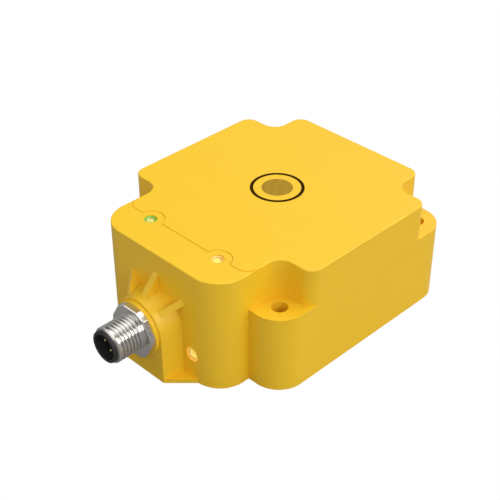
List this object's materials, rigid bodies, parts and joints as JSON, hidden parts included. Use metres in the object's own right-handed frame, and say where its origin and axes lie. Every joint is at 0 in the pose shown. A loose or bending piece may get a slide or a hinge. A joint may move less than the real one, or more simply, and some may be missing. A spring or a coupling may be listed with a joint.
{
  "type": "inductive proximity sensor",
  "caption": "Flat cuboid inductive proximity sensor: cross-shaped yellow moulded housing with corner mounting ears, indicator windows and a threaded plug on a ribbed boss.",
  "frame": {"origin": "centre of the four mounting holes, on the base plane", "axes": "+Z out of the sensing face, -Y along the plug, +X to the right seen from the plug's side"},
  "size_m": [0.08, 0.1138, 0.04],
  "materials": {
    "yellow_moulding": "fine matt moulded grain",
    "cover_moulding": "fine matt moulded grain",
    "sealing_compound": "poured, glossy",
    "nickelled_brass": "turned and nickel plated",
    "gold_contact": "gold plated",
    "tinned_metal": "tin plated",
    "black_insulator": "satin moulded",
    "seal_rubber": "smooth",
    "board_laminate": "solder resist over glass fibre",
    "ferrite": "pressed and sintered",
    "former_plastic": "moulded",
    "copper_wire": "enamelled winding",
    "carrier_plastic": "moulded",
    "clear_guide": "clear, moulded",
    "lamp_resin": "moulded",
    "chip_resin": "moulded",
    "capacitor_film": "dipped",
    "capacitor_can": "drawn",
    "ceramic_body": "fired",
    "print_ink": "pad printed on the sensing face"
  },
  "bodies": {
    "root": {"housing": "yellow_moulding", "base_cover": "cover_moulding", "sealing_layer": "sealing_compound", "ferrite_core": "ferrite", "coil_former": "former_plastic", "coil_winding": "copper_wire", "coil_terminals": "tinned_metal", "core_carrier": "carrier_plastic", "main_board": "board_laminate", "connector_board": "board_laminate", "header_strip": "black_insulator", "header_pins": "tinned_metal", "lamp_top_left": "lamp_resin", "lamp_top_right": "lamp_resin", "lamp_front_left": "lamp_resin", "lamp_front_right": "lamp_resin", "light_guide_top_left": "clear_guide", "light_guide_top_right": "clear_guide", "light_guide_front_left": "clear_guide", "light_guide_front_right": "clear_guide", "connector_shell": "nickelled_brass", "shell_seal": "seal_rubber", "contact_carrier": "black_insulator", "contact_pin_1": "gold_contact", "contact_pin_2": "gold_contact", "contact_pin_3": "gold_contact", "contact_pin_4": "gold_contact", "evaluation_chip": "chip_resin", "output_transistor": "chip_resin", "power_choke": "ferrite", "storage_capacitor": "capacitor_can", "voltage_regulator": "chip_resin", "tank_capacitor": "capacitor_film", "protection_diodes": "chip_resin", "ceramic_capacitors": "ceramic_body", "chip_resistors": "chip_resin"}
  },
  "joints": []
}
